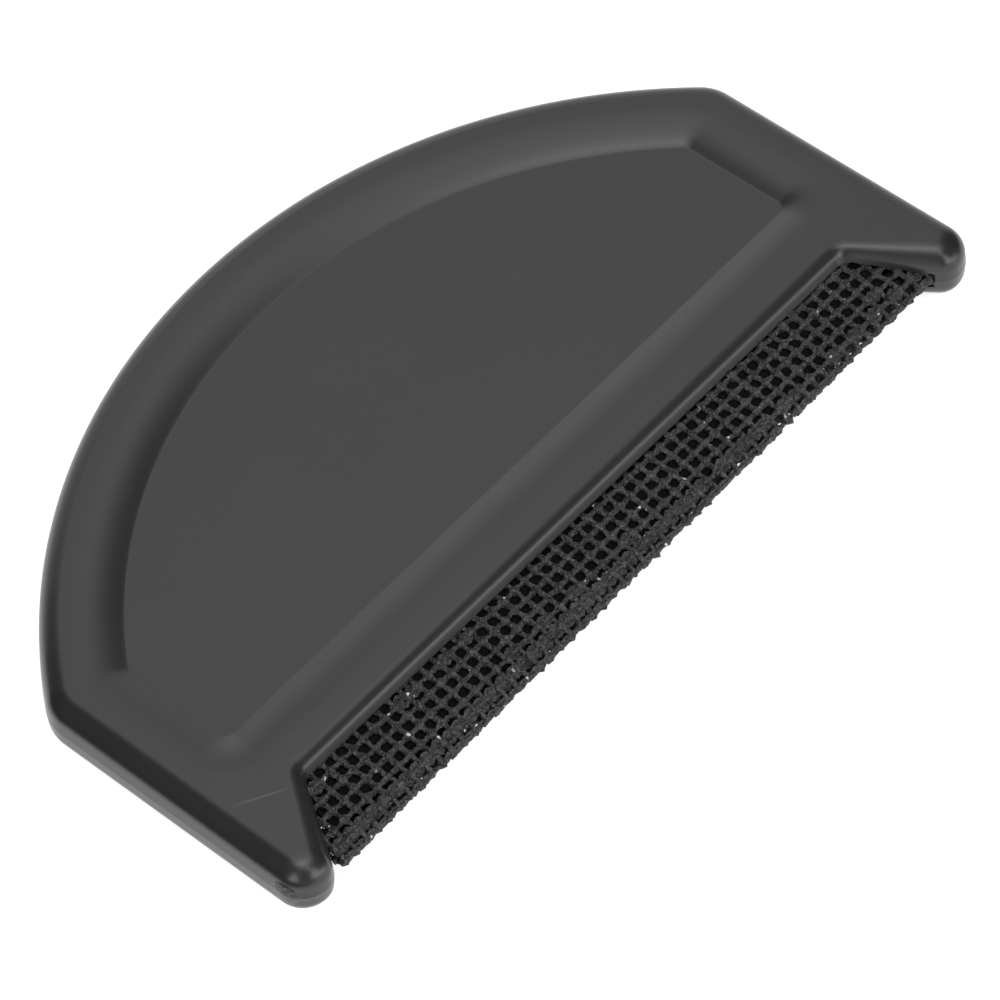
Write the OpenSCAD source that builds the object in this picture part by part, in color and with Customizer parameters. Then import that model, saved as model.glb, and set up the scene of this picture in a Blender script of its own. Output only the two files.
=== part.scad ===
// Sweater comb: two welded half shells that clamp a folded abrasive screen.
//
// Millimetres. X runs along the screen, -Y is the working edge, +Y the curved back and
// +Z is up. The origin is the centre of the comb's box, at its underside.
//
// Inside the modules y is counted from the horn tips and z from the parting plane, and
// place() moves the finished piece to where it belongs.

/* [Outline] */
// Length of the comb over its two horns
comb_length = 90; // [75:0.5:110]
// Depth of the comb from the horn tips to the top of the back
comb_depth = 51.8; // [43:0.1:63]
// Height of the back curve above its two corners
back_rise = 22; // [16:0.5:26]
// Radius of the two back corners
back_corner_radius = 4.4; // [2.5:0.1:8]
// Angle by which each side leans in towards the back
side_lean = 0.9; // [0:0.1:3]

/* [Horns and lip] */
// Distance of the lip behind the horn tips
lip_setback = 8; // [6.5:0.1:10]
// Width of each horn where it leaves the lip
horn_root = 9.9; // [9:0.1:13]
// Radius of the fillet between lip and horn
notch_radius = 0.85; // [0.5:0.05:1.5]
// Radius of a horn tip on its outer side
horn_outer_radius = 2.85; // [2:0.05:4]
// Radius of a horn tip on its inner side
horn_inner_radius = 2; // [1.5:0.05:3]

/* [Shell section] */
// Thickness of the comb, both shells together
comb_thickness = 6; // [5:0.1:8]
// Draft of the outer walls
wall_draft = 4; // [1:0.5:6]
// Height of the rounded edge on the sides and the back
edge_round = 1.6; // [1:0.1:2]
// Height of the rounded edge on the lip
lip_round = 1; // [0.6:0.1:1.4]
// Height of the rounding at the horn tips
horn_round = 2.1; // [1.6:0.1:2.4]
// Distance of the flat top behind the horn tips
horn_top_setback = 2.5; // [2:0.1:3]
// Thickness of the outer walls, both faces
face_wall = 1.2; // [0.9:0.05:1.4]
// Thickness of the wall round the back and the sides
rim_wall = 1.6; // [1.4:0.1:2.2]

/* [Grip recess] */
// Depth of the dished panel on each face
recess_depth = 0.65; // [0.3:0.05:0.9]
// Distance of the panel from the sides and the back
recess_inset = 7.5; // [6:0.1:10]
// Distance of the panel behind the horn tips
recess_front = 15.8; // [14:0.1:20]
// Width of the curved shoulder round the panel
shoulder_width = 2.9; // [2:0.1:4]
// Angle at which the shoulder leaves the rim
shoulder_angle = 3; // [1:0.5:6]

/* [Abrasive screen] */
// Thickness of the screen's threads
thread = 0.45; // [0.3:0.05:0.6]
// Half height of the screen where it leaves the slot
screen_half_height = 1.5; // [1.3:0.05:1.7]
// Outer radius of the screen's fold
fold_radius = 0.85; // [0.7:0.05:1]
// Distance of the fold's axis behind the horn tips
fold_setback = 1.86; // [1.5:0.02:3]
// Distance of the screen's ends from the sides of the comb
screen_inset = 5.1; // [4.8:0.1:6]
// Shift of the screen along the slot
screen_shift = 0.3; // [-0.3:0.1:0.3]
// Angle by which the screen sits askew in the slot
screen_skew = 0.7; // [-0.8:0.1:0.8]
// Length of the tails that the slot clamps
tail_length = 4.9; // [3.5:0.1:5.5]
// Spacing of the cross threads, along the screen
mesh_pitch_x = 2.83; // [2.4:0.01:4]
// Spacing of the long threads, from fold to tail
mesh_pitch_y = 2.57; // [2.3:0.01:3]

/* [Screen former] */
// Distance of the former's front edge behind the horn tips
former_front = 3; // [2.8:0.1:4]
// Length of the former's root behind the tails
former_root = 3.5; // [3:0.1:4]
// How much shorter the former is than the screen, at each end
former_short = 2.6; // [1:0.1:4]
// Number of pegs along the former
peg_count = 5; // [3:1:7]
// Diameter of the former's pegs
peg_diameter = 2; // [1.5:0.1:2.4]
// Height of the former's pegs
peg_height = 0.6; // [0.4:0.05:0.7]

/* [Pins and tongue] */
// Diameter of the body's locating pins
pin_diameter = 2; // [1.6:0.1:2.5]
// Length of the body's locating pins
pin_length = 1.3; // [0.8:0.1:1.4]
// Wall round a pin or a socket
boss_wall = 1.1; // [0.8:0.1:1.5]
// Diameter of the pins beside the slot
horn_pin_diameter = 1.6; // [1.2:0.1:1.8]
// Distance of the rim's tongue from the outside
tongue_inset = 0.6; // [0.5:0.05:0.7]
// Thickness of the rim's tongue
tongue_width = 0.45; // [0.3:0.05:0.5]
// Height of the rim's tongue
tongue_height = 0.6; // [0.4:0.1:0.8]
// Thickness of the stiffening ribs
rib = 0.8; // [0.6:0.1:1.2]
// Spacing of the stiffening ribs
rib_pitch = 12; // [8:0.5:16]

/* [Fits] */
// Play between parts that slide into each other
fit = 0.05; // [0.02:0.01:0.1]
// Room between the screen and the slot's ends
slot_room = 0.4; // [0.4:0.1:0.8]

/* [Hidden] */
$fn = 64;

// The box that every cut reaches across
reach = 300;
// How far a cut runs past the face that it opens
over = 1;

half_length = comb_length / 2;
half_thickness = comb_thickness / 2;

// Back curve: an arc through both back corners and the top of the back
corner_y = comb_depth - back_rise;
corner_x = half_length - (corner_y - horn_outer_radius) * tan(side_lean);
back_radius = (pow(corner_x, 2) + pow(back_rise, 2)) / (2 * back_rise);
back_y = comb_depth - back_radius;

// Drafted wall and rounded edge draw the flat top in by this much
function drawn_in(round) =
    (half_thickness - round + round * sin(wall_draft)) * tan(wall_draft) + round * cos(wall_draft);
side_drawn_in = drawn_in(edge_round);
lip_drawn_in = drawn_in(lip_round);

// Radii of the flat top at a horn tip, and the shift of its corner at the lip
top_outer_radius = 0.75;
top_inner_radius = 0.5;
top_notch_radius = 1.2;
top_notch_shift = 0.6;

// Steps of each arc of the outline, and of the rounded edge
notch_steps = 4;
slant_steps = 6;
tip_steps = 6;
corner_steps = 6;
back_steps = 20;
edge_steps = 6;
fold_steps = 8;

// Screen, slot and former, as half heights and as distances behind the horn tips
thread_inside = screen_half_height - thread;
fold_inside = fold_radius - thread;
former_half = thread_inside - fit;
screen_length = comb_length - 2 * screen_inset;
former_length = screen_length - 2 * former_short;
skew_room = screen_length / 2 * abs(sin(screen_skew));
tail_end = lip_setback + tail_length;
tail_stop = tail_end + skew_room + fit;
former_end = tail_stop + former_root;
peg_y = (tail_stop + former_end) / 2;
slot_half_length = screen_length / 2 + abs(screen_shift) + slot_room;

// Cavity behind the slot
cavity_front = former_end + rim_wall;
panel_ceiling = half_thickness - recess_depth - face_wall;
rim_ceiling = half_thickness - face_wall;
rim_channel = recess_inset - shoulder_width - 0.6;
rib_relief = 0.15;

// Bosses of the body's pins, and pins beside the slot
boss_radius = pin_diameter / 2 + boss_wall;
front_boss = [half_length - 15, cavity_front + boss_radius + 0.4];
back_boss_angle = 22;
back_boss_reach = back_radius - recess_inset - shoulder_width - boss_radius;
back_boss = [back_boss_reach * sin(back_boss_angle), back_y + back_boss_reach * cos(back_boss_angle)];
horn_pin = [half_length - 2.4, lip_setback + 2];
pin_places = [front_boss, back_boss];

function arc(centre, radius, from, to, steps) =
    [for (i = [0:steps]) centre + radius * direction(from + (to - from) * i / steps)];
function direction(angle) = [cos(angle), sin(angle)];
function length2(v) = v * v;

// Right half of an outline, from the lip to just before the top of the back.
// half, front and lip place it; notch is half the lip's straight length.
function half_outline(half, front, lip, notch, r_notch, r_inner, r_outer, r_corner, r_back) =
    let (
        tip_x = half - r_outer,
        notch_c = [notch, lip - r_notch],
        inner_c = [tip_x, front + r_inner],
        outer_c = [tip_x, front + r_outer],
        back_c = [0, back_y],
        span = notch_c - inner_c,
        slant = atan2(span[1], span[0]) + acos((r_notch + r_inner) / norm(span)),
        slant_from = notch_c - r_notch * direction(slant),
        slant_to = inner_c + r_inner * direction(slant),
        along = [-sin(side_lean), cos(side_lean)],
        inside = outer_c + (r_outer - r_corner) * direction(side_lean) - back_c,
        run = sqrt(pow(inside * along, 2) - length2(inside) + pow(r_back - r_corner, 2)) - inside * along,
        corner_c = back_c + inside + run * along,
        corner_a = atan2(corner_c[1] - back_c[1], corner_c[0] - back_c[0])
    )
    concat(
        arc(notch_c, r_notch, 90, slant - 180, notch_steps),
        [for (i = [1:slant_steps - 1]) slant_from + (slant_to - slant_from) * i / slant_steps],
        arc(inner_c, r_inner, slant, 270, tip_steps),
        [for (i = [1:tip_steps]) arc(outer_c, r_outer, 270, 360 + side_lean, tip_steps)[i]],
        arc(corner_c, r_corner, side_lean, corner_a, corner_steps),
        [for (i = [1:back_steps - 1]) arc(back_c, r_back, corner_a, 90, back_steps)[i]]
    );

// Height of the rounded edge at the same points
function half_rounds() = concat(
    [for (i = [0:notch_steps]) lip_round],
    [for (i = [1:slant_steps - 1]) lip_round + (horn_round - lip_round) * i / slant_steps],
    [for (i = [0:tip_steps]) horn_round],
    [for (i = [1:tip_steps]) horn_round + (edge_round - horn_round) * i / tip_steps],
    [for (i = [1:corner_steps + back_steps]) edge_round]
);

function mirrored(points) = [for (i = [len(points) - 1:-1:0]) [-points[i][0], points[i][1]]];
function backwards(list) = [for (i = [len(list) - 1:-1:0]) list[i]];
function whole(points, top) = concat(points, [[0, top]], mirrored(points));

parting_outline = whole(
    half_outline(
        half_length, 0, lip_setback, half_length - horn_root,
        notch_radius, horn_inner_radius, horn_outer_radius, back_corner_radius, back_radius
    ),
    comb_depth
);
top_outline = whole(
    half_outline(
        half_length - side_drawn_in, horn_top_setback, lip_setback + lip_drawn_in,
        half_length - horn_root + top_notch_shift, top_notch_radius, top_inner_radius,
        top_outer_radius, back_corner_radius - side_drawn_in, back_radius - side_drawn_in
    ),
    comb_depth - side_drawn_in
);
edge_rounds = concat(half_rounds(), [edge_round], backwards(half_rounds()));

// A point of the outer skin: on the drafted wall or the rounded edge above sample i
function skin_point(i, turn) =
    let (
        round = edge_rounds[i],
        inwards = top_outline[i] - parting_outline[i],
        wall_in = (half_thickness - round + round * sin(wall_draft)) * tan(wall_draft),
        share = (1 - wall_in / norm(inwards)) / cos(wall_draft),
        place = parting_outline[i] + inwards * (1 - share * cos(turn))
    )
    [place[0], place[1], half_thickness - round + round * sin(turn)];

// Solid half body: wall, rounded edge and flat top over the parting outline
module half_body() {
    count = len(parting_outline);
    rings = edge_steps + 2;
    points = concat(
        [for (p = parting_outline) [p[0], p[1], 0]],
        [for (k = [0:edge_steps]) for (i = [0:count - 1])
            skin_point(i, wall_draft + (90 - wall_draft) * k / edge_steps)]
    );
    walls = [for (k = [0:rings - 2]) for (i = [0:count - 1])
        let (a = k * count + i, b = k * count + (i + 1) % count)
        each [[a, b + count, b], [a, a + count, b + count]]];
    bottom = [for (i = [0:count - 1]) i];
    top = [for (i = [count - 1:-1:0]) (rings - 1) * count + i];
    polyhedron(points = points, faces = concat([bottom, top], walls));
}

// Section of the recess: a flat panel out to edge, then a convex shoulder up to the rim
module shoulder_section(from, edge) {
    chord_angle = atan2(recess_depth, shoulder_width);
    chord = norm([recess_depth, shoulder_width]);
    radius = chord / (2 * sin(chord_angle - shoulder_angle));
    difference() {
        translate([from, half_thickness - recess_depth])
            square([edge + shoulder_width - from, recess_depth + over]);
        translate([
            edge + shoulder_width + radius * sin(shoulder_angle),
            half_thickness - radius * cos(shoulder_angle)
        ])
            circle(r = radius, $fn = 360);
    }
}

// Recess section drawn straight, with its shoulder facing the given angle
module shoulder_slab(angle, edge) {
    rotate([0, 0, angle])
        rotate([90, 0, 0])
            linear_extrude(height = reach, center = true)
                shoulder_section(-reach, edge);
}

module grip_recess() {
    side_reach = [half_length - horn_outer_radius, horn_outer_radius] * direction(side_lean);
    side_edge = side_reach + horn_outer_radius - recess_inset;
    intersection() {
        translate([0, back_y, 0])
            rotate_extrude($fn = 180)
                shoulder_section(0, back_radius - recess_inset);
        shoulder_slab(side_lean, side_edge);
        shoulder_slab(180 - side_lean, side_edge);
        shoulder_slab(-90, -recess_front);
    }
}

// Plan of the body, drawn in by inset, without the horns
module plan(inset, front) {
    intersection() {
        translate([0, back_y])
            circle(r = back_radius - inset, $fn = 180);
        polygon([
            [-half_length + inset, 0],
            [half_length - inset, 0],
            [half_length - inset - reach * tan(side_lean), reach],
            [-half_length + inset + reach * tan(side_lean), reach]
        ]);
        translate([-reach / 2, front])
            square(reach);
    }
}

module pin_spots() {
    for (side = [-1, 1])
        for (p = pin_places)
            translate([side * p[0], p[1]])
                children();
}

module horn_pin_spots() {
    for (side = [-1, 1])
        translate([side * horn_pin[0], horn_pin[1]])
            children();
}

module ribs() {
    for (x = [-3:3])
        translate([x * rib_pitch - rib / 2, 0])
            square([rib, reach]);
}

// Hollow behind the slot: bosses and ribs are left standing, the ribs a little short,
// and the ceiling steps up under the rim so that the wall stays even
module cavity() {
    translate([0, 0, -over])
        linear_extrude(height = over + rib_relief)
            difference() {
                plan(rim_wall, cavity_front);
                pin_spots()
                    circle(r = boss_radius);
            }
    linear_extrude(height = panel_ceiling)
        difference() {
            plan(rim_wall, cavity_front);
            pin_spots()
                circle(r = boss_radius);
            ribs();
        }
    translate([0, 0, panel_ceiling - fit])
        linear_extrude(height = rim_ceiling - panel_ceiling + fit)
            difference() {
                plan(rim_wall, cavity_front);
                plan(rim_channel, cavity_front - over);
                ribs();
            }
}

// Slot that clamps the tails, and behind it the seat of the former's root
module slot() {
    rotate([90, 0, 90])
        linear_extrude(height = 2 * slot_half_length, center = true)
            polygon([
                [-over, -over],
                [-over, fold_radius + fit],
                [fold_setback - skew_room, fold_radius + fit],
                [lip_setback - skew_room, screen_half_height + fit],
                [tail_stop, screen_half_height + fit],
                [tail_stop, former_half + fit],
                [former_end + fit, former_half + fit],
                [former_end + fit, -over]
            ]);
}

module peg_spots() {
    spacing = former_length / peg_count;
    for (i = [0:peg_count - 1])
        translate([(i - (peg_count - 1) / 2) * spacing, peg_y, 0])
            children();
}

// Band along the sides and the back that is the tongue or, with some slack, its groove
module rim_band(height, slack) {
    linear_extrude(height = height)
        difference() {
            plan(tongue_inset - slack, tail_end - slack);
            plan(tongue_inset + tongue_width + slack, 0);
        }
}

// Half shell without its pins, sockets and tongue, above the parting plane
module half_shell() {
    difference() {
        half_body();
        grip_recess();
        cavity();
        slot();
        peg_spots()
            cylinder(d = peg_diameter + 2 * fit, h = former_half + peg_height + 2 * fit);
    }
}

module place() {
    translate([0, -comb_depth / 2, half_thickness])
        children();
}

// Upper half: carries the pins and the tongue that the lower half takes
module upper_shell() {
    color("#2b2b2c")
        place()
            union() {
                half_shell();
                pin_spots()
                    translate([0, 0, -pin_length])
                        cylinder(d = pin_diameter, h = pin_length + over / 2);
                horn_pin_spots()
                    translate([0, 0, -pin_length])
                        cylinder(d = horn_pin_diameter, h = pin_length + over / 2);
                translate([0, 0, -tongue_height])
                    rim_band(tongue_height + over / 2, 0);
            }
}

// Lower half: the mirror of the upper one, with sockets and a groove
module lower_shell() {
    socket = pin_length + 2 * fit;
    color("#272728")
        place()
            mirror([0, 0, 1])
                difference() {
                    half_shell();
                    pin_spots()
                        translate([0, 0, -over])
                            cylinder(d = pin_diameter + 2 * fit, h = socket + over);
                    horn_pin_spots()
                        translate([0, 0, -over])
                            cylinder(d = horn_pin_diameter + 2 * fit, h = socket + over);
                    translate([0, 0, -over])
                        rim_band(over + tongue_height + fit, fit);
                }
}

// Section of the folded screen's face, drawn in by inset, from one tail round to the other
function fold_path(inset) =
    let (
        radius = fold_radius - inset,
        height = screen_half_height - inset,
        span = [lip_setback - fold_setback, height],
        slope = atan2(span[1], span[0]) - asin(radius / norm(span))
    )
    concat(
        [[tail_end, height], [lip_setback, height]],
        arc([fold_setback, 0], radius, 90 + slope, 270 - slope, fold_steps),
        [[lip_setback, -height], [tail_end, -height]]
    );

// Abrasive screen: a net folded over the former, cut open between its threads
module abrasive_screen() {
    columns = floor((screen_length - thread) / mesh_pitch_x);
    rows = floor((tail_end - fold_setback - thread) / mesh_pitch_y);
    gap_x = mesh_pitch_x - thread;
    gap_y = mesh_pitch_y - thread;
    first_x = -columns * mesh_pitch_x / 2 + thread / 2;
    color("#1c1c1d")
        place()
            translate([screen_shift, lip_setback, 0])
                rotate([0, 0, screen_skew])
                    translate([0, -lip_setback, 0])
                        difference() {
                            rotate([90, 0, 90])
                                linear_extrude(height = screen_length, center = true)
                                    polygon(concat(fold_path(0), backwards(fold_path(thread))));
                            for (i = [0:columns - 1])
                                translate([first_x + i * mesh_pitch_x, 0, -comb_thickness / 2]) {
                                    translate([0, fold_setback - 2 * fold_radius, 0])
                                        cube([gap_x, 2 * fold_radius, comb_thickness]);
                                    for (j = [0:rows - 1])
                                        translate([0, fold_setback + thread + j * mesh_pitch_y, 0])
                                            cube([gap_x, gap_y, comb_thickness]);
                                }
                        }
}

// Former: the tongue that fills the loop of the screen, with pegs on its root
module screen_former() {
    front_radius = fold_inside;
    color("#161617")
        place()
            union() {
                rotate([90, 0, 90])
                    linear_extrude(height = former_length, center = true)
                        union() {
                            translate([former_front + front_radius, 0])
                                circle(r = front_radius, $fn = 48);
                            polygon([
                                [former_front + front_radius, front_radius],
                                [lip_setback + skew_room, former_half],
                                [former_end, former_half],
                                [former_end, -former_half],
                                [lip_setback + skew_room, -former_half],
                                [former_front + front_radius, -front_radius]
                            ]);
                        }
                peg_spots()
                    cylinder(d = peg_diameter, h = 2 * (former_half + peg_height), center = true);
            }
}

upper_shell();
lower_shell();
abrasive_screen();
screen_former();
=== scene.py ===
"""Sweater comb: satin black half shells round a folded, grit coated screen.

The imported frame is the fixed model. The two shells and the screen are modelled here in
full detail and stand for their CAD nodes. The former inside the screen is the CAD node
itself with a finish. Lengths are metres, and mm() turns millimetres into them.

Inside the shell functions y is counted from the horn tips and z from the parting plane,
as in the part's source, and in_place() moves the result to the row's frame.
"""

import math

import bmesh
import bpy
import numpy as np
from bpy.props import FloatProperty, FloatVectorProperty, IntProperty, PointerProperty
from mathutils import Matrix, Vector


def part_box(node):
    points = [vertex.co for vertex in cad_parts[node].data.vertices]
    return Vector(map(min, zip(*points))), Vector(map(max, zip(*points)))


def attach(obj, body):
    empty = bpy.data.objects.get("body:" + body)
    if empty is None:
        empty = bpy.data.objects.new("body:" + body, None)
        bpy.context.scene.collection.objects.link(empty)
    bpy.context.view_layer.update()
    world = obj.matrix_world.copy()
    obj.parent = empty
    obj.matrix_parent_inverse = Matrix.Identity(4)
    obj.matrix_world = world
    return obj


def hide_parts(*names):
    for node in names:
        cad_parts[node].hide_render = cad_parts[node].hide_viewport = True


bl_info = {
    "name": "Sweater Comb",
    "version": (1, 0, 0),
    "blender": (4, 5, 0),
    "location": "View3D > Sidebar > Comb",
    "description": "Builds a moulded sweater comb with an abrasive screen, and its studio",
    "category": "Add Mesh",
}

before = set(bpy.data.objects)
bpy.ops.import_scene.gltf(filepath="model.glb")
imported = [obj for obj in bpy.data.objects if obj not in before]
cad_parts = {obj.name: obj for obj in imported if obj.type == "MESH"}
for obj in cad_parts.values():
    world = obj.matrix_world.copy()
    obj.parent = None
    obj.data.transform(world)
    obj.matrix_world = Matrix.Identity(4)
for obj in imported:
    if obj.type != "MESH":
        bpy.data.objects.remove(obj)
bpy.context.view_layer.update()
ROOT = "root"


def mm(value):
    """Millimetres as metres."""
    return value * 0.001


def srgb(code):
    """Linear colour of an sRGB hex code such as "2b2b2c"."""
    levels = [int(code[i : i + 2], 16) / 255 for i in (0, 2, 4)]
    return [v / 12.92 if v <= 0.04045 else ((v + 0.055) / 1.055) ** 2.4 for v in levels]


UPPER_LOW, UPPER_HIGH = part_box("upper_shell")
COMB_LENGTH = UPPER_HIGH.x - UPPER_LOW.x
COMB_DEPTH = UPPER_HIGH.y - UPPER_LOW.y
HALF_THICKNESS = UPPER_HIGH.z / 2


def length_property(name, description, default, **more):
    """A size in metres that the user can change."""
    return FloatProperty(
        name=name,
        description=description,
        default=default,
        min=0.0,
        precision=5,
        subtype="DISTANCE",
        unit="LENGTH",
        **more,
    )


def angle_property(name, description, degrees):
    """An angle that the user can change."""
    return FloatProperty(
        name=name,
        description=description,
        default=math.radians(degrees),
        subtype="ANGLE",
        unit="ROTATION",
    )


def colour_property(name, description, code):
    """A colour that the user can change, given as sRGB hex."""
    return FloatVectorProperty(
        name=name,
        description=description,
        default=srgb(code),
        min=0.0,
        max=1.0,
        size=3,
        subtype="COLOR",
    )


class CombShellSizes(bpy.types.PropertyGroup):
    """Sizes of the two half shells."""

    back_rise: length_property("Back rise", "Height of the back curve above its corners", mm(22))
    corner_radius: length_property("Corner radius", "Radius of the back corners", mm(4.4))
    side_lean: angle_property("Side lean", "Angle by which the sides lean in to the back", 0.9)
    lip_setback: length_property("Lip setback", "Lip behind the horn tips", mm(8))
    horn_root: length_property("Horn root", "Width of a horn at the lip", mm(9.9))
    notch_radius: length_property("Notch radius", "Fillet between lip and horn", mm(1.1))
    horn_outer: length_property("Horn outer radius", "Outer radius of a horn tip", mm(2.85))
    horn_inner: length_property("Horn inner radius", "Inner radius of a horn tip", mm(2))
    draft: angle_property("Draft", "Draft of the outer walls", 4)
    edge_round: length_property("Edge rounding", "Rounded edge on sides and back", mm(2.0))
    lip_round: length_property("Lip rounding", "Rounded edge on the lip", mm(1.35))
    lip_slope: angle_property("Lip slope", "Slope of the lip above the screen", 26)
    lip_break: length_property("Lip break", "Height at which the lip starts to slope", mm(1.7))
    lip_lead: length_property("Lip lead", "How far the lip's foot leads the setback", mm(0.08))
    horn_round: length_property("Horn rounding", "Rounding of the horn tips", mm(2.1))
    horn_top: length_property("Horn top setback", "Flat top behind the horn tips", mm(2.5))
    recess_depth: length_property("Recess depth", "Depth of the grip panel", mm(0.85))
    recess_inset: length_property("Recess inset", "Panel in from sides and back", mm(7.5))
    recess_front: length_property("Recess front", "Panel behind the horn tips", mm(15.8))
    shoulder: length_property("Shoulder width", "Curved shoulder round the panel", mm(4.5))
    panel_corner: length_property("Panel corner", "Corner radius of the panel", mm(0.8))
    seam: length_property("Seam", "Width of the bevel at the parting line", mm(0.012))


class CombScreenSizes(bpy.types.PropertyGroup):
    """Sizes of the abrasive screen."""

    half_height: length_property("Half height", "Half height of the loop at the lip", mm(1.5))
    fold_radius: length_property("Fold radius", "Outer radius of the fold", mm(0.85))
    fold_setback: length_property("Fold setback", "Fold's axis behind the tips", mm(1.86))
    tail: length_property("Tail", "Length of the clamped tails", mm(4.9))
    length: length_property("Length", "Length of the screen", mm(79.8))
    shift: length_property("Shift", "Shift along the slot", mm(0.3))
    skew: angle_property("Skew", "Angle of the screen in its slot", 0.7)
    thread: length_property("Thread", "Thickness of a thread", mm(0.5))
    pitch_x: length_property("Pitch along", "Spacing of the cross threads", mm(1.415))
    pitch_y: length_property("Pitch across", "Spacing of the long threads", mm(1.28))
    unevenness: length_property("Unevenness", "Roughness of the coated yarn", mm(0.62))
    knot: length_property("Knot", "Radius of the resin at a crossing", mm(0.55))
    film: length_property("Film", "Radius of a resin film in a hole", mm(0.7))
    wander: length_property("Wander", "How far a thread strays from its line", mm(0.12))
    step: length_property("Step", "Distance between the rings of a thread", mm(0.24))
    seed: IntProperty(name="Seed", description="Seed of the grit", default=4, min=0)


class CombColours(bpy.types.PropertyGroup):
    """Colours of the comb's materials."""

    shell: colour_property("Shell", "Moulded shells", "1c1c1d")
    screen: colour_property("Screen", "Grit coated yarn", "222223")
    former: colour_property("Former", "Former inside the screen", "0b0b0b")


def direction(angle):
    """Unit vector at that angle."""
    return np.array((math.cos(angle), math.sin(angle)))


def arc(centre, radius, start, stop, steps):
    """Points of an arc, both ends included."""
    turn = np.linspace(start, stop, steps + 1)
    return np.asarray(centre) + radius * np.column_stack((np.cos(turn), np.sin(turn)))


def corner_on_arc(line_point, lean, radius, back_centre, back_radius):
    """Centre of a circle inside both a leaning side line and the back arc."""
    inside = line_point - radius * direction(lean) - back_centre
    along = np.array((-math.sin(lean), math.cos(lean)))
    ahead = inside @ along
    run = math.sqrt(ahead**2 - inside @ inside + (back_radius - radius) ** 2) - ahead
    centre = back_centre + inside + run * along
    turn = math.atan2(*(centre - back_centre)[::-1])
    return centre, turn


def mirrored(points):
    """The left half that belongs to a right half, in running order."""
    return points[::-1] * (-1, 1)


NOTCH_STEPS, SLANT_STEPS, TIP_STEPS, CORNER_STEPS, BACK_STEPS = 8, 14, 14, 12, 60
EDGE_STEPS, SHOULDER_STEPS, PANEL_CORNER_STEPS, PANEL_BACK_STEPS = 14, 12, 12, 50
# Outline of the flat top: how far its notches move out, and its notch, inner and outer radii.
TOP_NOTCH_SHIFT = mm(0.3)
TOP_RADII = mm(2.2), mm(0.5), mm(0.75)
# Parts of the wall's foot: the most of the free height it takes, and the ring on its way up.
FOOT_LIMIT, FOOT_RING = 0.9, 0.4
# Moulding flash: how proud it stands, how far it spreads, and its turn from point to point.
FLASH_PROUD, FLASH_SPREAD, FLASH_TURN = mm(0.13), mm(1.3), 2.3
# Edge of the grip panel: width of its blend on either side, and the lift of the ring on it.
PANEL_BLEND, PANEL_LIFT = mm(0.12), mm(0.02)


def back_curve(sizes):
    """Centre and radius of the arc through both back corners and the top of the back."""
    corner_y = COMB_DEPTH - sizes.back_rise
    corner_x = COMB_LENGTH / 2 - (corner_y - sizes.horn_outer) * math.tan(sizes.side_lean)
    radius = (corner_x**2 + sizes.back_rise**2) / (2 * sizes.back_rise)
    return np.array((0, COMB_DEPTH - radius)), radius


def outline(sizes, half, front, lip, notch, r_notch, r_inner, r_outer, r_corner, shrink):
    """Closed outline of the body, anticlockwise from the right end of the lip."""
    back_centre, back_radius = back_curve(sizes)
    back_radius -= shrink
    tip_x = half - r_outer
    notch_c = np.array((notch, lip - r_notch))
    inner_c = np.array((tip_x, front + r_inner))
    outer_c = np.array((tip_x, front + r_outer))
    span = notch_c - inner_c
    slant = math.atan2(span[1], span[0]) + math.acos((r_notch + r_inner) / math.hypot(*span))
    slant_ends = notch_c - r_notch * direction(slant), inner_c + r_inner * direction(slant)
    side_point = outer_c + r_outer * direction(sizes.side_lean)
    corner_c, corner_a = corner_on_arc(side_point, sizes.side_lean, r_corner, back_centre, back_radius)
    down, turn = 1.5 * math.pi, 2 * math.pi
    right = np.vstack(
        (
            arc(notch_c, r_notch, math.pi / 2, slant - math.pi, NOTCH_STEPS),
            np.linspace(*slant_ends, SLANT_STEPS + 1)[1:-1],
            arc(inner_c, r_inner, slant, down, TIP_STEPS),
            arc(outer_c, r_outer, down, turn + sizes.side_lean, TIP_STEPS)[1:],
            arc(corner_c, r_corner, sizes.side_lean, corner_a, CORNER_STEPS),
            arc(back_centre, back_radius, corner_a, math.pi / 2, BACK_STEPS)[1:-1],
        )
    )
    top = np.array(((0, COMB_DEPTH - shrink),))
    return np.vstack((right, top, mirrored(right)))


def along_edge(lip, tip, side):
    """One value for each point of the outline, blended along the horns' inner walls."""
    right = np.concatenate(
        (
            np.full(NOTCH_STEPS + 1, lip),
            np.linspace(lip, tip, SLANT_STEPS + 1)[1:-1],
            np.full(TIP_STEPS + 1, tip),
            np.linspace(tip, side, TIP_STEPS + 1)[1:],
            np.full(CORNER_STEPS + BACK_STEPS, side),
        )
    )
    return np.concatenate((right, [side], right[::-1]))


def wall_top(sizes, height, slope):
    """Height at which the wall meets its rounded edge, and the wall's inset there."""
    foot = np.minimum(sizes.lip_break, FOOT_LIMIT * (HALF_THICKNESS - height))
    top = HALF_THICKNESS - height + height * np.sin(slope)
    return foot, foot * math.tan(sizes.draft) + (top - foot) * np.tan(slope)


def drawn_in(sizes, height, slope):
    """How far the flat top lies inside the parting outline."""
    return float(wall_top(sizes, height, slope)[1] + height * math.cos(slope))


def flash(sizes, points):
    """Slivers of moulding flash at the parting line, on the front of the left tip only."""
    reach = sizes.horn_outer * (1 - math.sqrt(0.5))
    away = np.hypot(points[:, 0] + COMB_LENGTH / 2 - reach, points[:, 1] - reach)
    ragged = np.sin(np.arange(len(points)) * FLASH_TURN) * np.exp(-((away / FLASH_SPREAD) ** 2))
    return FLASH_PROUD * np.clip(ragged, 0, 1)


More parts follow.
